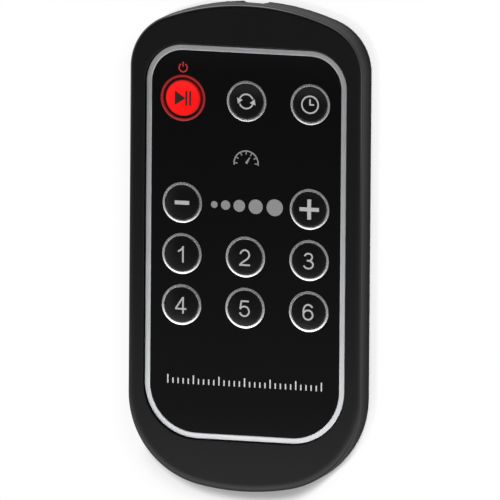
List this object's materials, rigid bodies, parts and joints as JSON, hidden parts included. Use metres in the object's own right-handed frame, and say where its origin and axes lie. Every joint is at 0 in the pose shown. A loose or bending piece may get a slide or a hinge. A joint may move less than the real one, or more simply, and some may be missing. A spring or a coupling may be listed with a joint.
{
  "type": "compression therapy pump handset",
  "caption": "Slim black handheld control unit for a compression therapy pump, with a framed gloss panel of round ringed push keys and a sliding battery door.",
  "frame": {"origin": "centre of the flat back face, under the middle of the body", "axes": "+X to the right seen from the keys, +Y along the body towards the emitter end, +Z out of the keys"},
  "size_m": [0.0656, 0.1334, 0.015],
  "materials": {
    "abs_black": "moulded ABS with a fine satin spark texture",
    "silver_plate": "satin silver plated trim",
    "start_ring_red": "ring lit dull red by the lamp below",
    "panel_gloss": "high gloss black acrylic",
    "start_red": "translucent red key cap, lit",
    "key_black": "gloss black moulded key cap",
    "silicone_grey": "moulded silicone rubber",
    "board_green": "solder mask over glass fibre board",
    "chip_black": "moulded epoxy",
    "can_steel": "drawn steel can",
    "capacitor_sleeve": "shrink sleeve",
    "lamp_clear": "clear lamp resin",
    "emitter_epoxy": "tinted clear epoxy",
    "window_red": "very dark red acrylic that passes infrared",
    "cell_jacket": "printed foil jacket, plain",
    "contact_nickel": "nickel plated spring steel",
    "screw_zinc": "zinc plated steel"
  },
  "bodies": {
    "handset": {"rear_shell": "abs_black", "front_shell": "abs_black", "panel_frame": "silver_plate", "control_panel": "panel_gloss", "key_rings": "silver_plate", "start_ring": "start_ring_red", "keypad_mat": "silicone_grey", "circuit_board": "board_green", "control_chip": "chip_black", "crystal": "can_steel", "capacitors": "capacitor_sleeve", "start_led": "lamp_clear", "emitter": "emitter_epoxy", "emitter_window": "window_red", "battery_1": "cell_jacket", "battery_2": "cell_jacket", "battery_springs": "contact_nickel", "contact_plates": "contact_nickel", "screws": "screw_zinc"},
    "battery_door": {"battery_door": "abs_black"},
    "start_key": {"start_key": "start_red", "start_plunger": "silicone_grey"},
    "mode_key": {"mode_key": "key_black", "mode_plunger": "silicone_grey"},
    "time_key": {"time_key": "key_black", "time_plunger": "silicone_grey"},
    "minus_key": {"minus_key": "key_black", "minus_plunger": "silicone_grey"},
    "plus_key": {"plus_key": "key_black", "plus_plunger": "silicone_grey"},
    "key_1": {"key_1": "key_black", "plunger_1": "silicone_grey"},
    "key_2": {"key_2": "key_black", "plunger_2": "silicone_grey"},
    "key_3": {"key_3": "key_black", "plunger_3": "silicone_grey"},
    "key_4": {"key_4": "key_black", "plunger_4": "silicone_grey"},
    "key_5": {"key_5": "key_black", "plunger_5": "silicone_grey"},
    "key_6": {"key_6": "key_black", "plunger_6": "silicone_grey"}
  },
  "joints": [
    {"name": "battery_door_slide", "type": "slide", "parent": "handset", "child": "battery_door", "axis": [0, -1, 0], "range_m": [0, 0.008]},
    {"name": "start_key_press", "type": "slide", "parent": "handset", "child": "start_key", "axis": [0, 0, -1], "range_m": [0, 0.0006], "stiffness_N_per_m": 200},
    {"name": "mode_key_press", "type": "slide", "parent": "handset", "child": "mode_key", "axis": [0, 0, -1], "range_m": [0, 0.0006], "stiffness_N_per_m": 200},
    {"name": "time_key_press", "type": "slide", "parent": "handset", "child": "time_key", "axis": [0, 0, -1], "range_m": [0, 0.0006], "stiffness_N_per_m": 200},
    {"name": "minus_key_press", "type": "slide", "parent": "handset", "child": "minus_key", "axis": [0, 0, -1], "range_m": [0, 0.0006], "stiffness_N_per_m": 200},
    {"name": "plus_key_press", "type": "slide", "parent": "handset", "child": "plus_key", "axis": [0, 0, -1], "range_m": [0, 0.0006], "stiffness_N_per_m": 200},
    {"name": "key_1_press", "type": "slide", "parent": "handset", "child": "key_1", "axis": [0, 0, -1], "range_m": [0, 0.0006], "stiffness_N_per_m": 200},
    {"name": "key_2_press", "type": "slide", "parent": "handset", "child": "key_2", "axis": [0, 0, -1], "range_m": [0, 0.0006], "stiffness_N_per_m": 200},
    {"name": "key_3_press", "type": "slide", "parent": "handset", "child": "key_3", "axis": [0, 0, -1], "range_m": [0, 0.0006], "stiffness_N_per_m": 200},
    {"name": "key_4_press", "type": "slide", "parent": "handset", "child": "key_4", "axis": [0, 0, -1], "range_m": [0, 0.0006], "stiffness_N_per_m": 200},
    {"name": "key_5_press", "type": "slide", "parent": "handset", "child": "key_5", "axis": [0, 0, -1], "range_m": [0, 0.0006], "stiffness_N_per_m": 200},
    {"name": "key_6_press", "type": "slide", "parent": "handset", "child": "key_6", "axis": [0, 0, -1], "range_m": [0, 0.0006], "stiffness_N_per_m": 200}
  ]
}
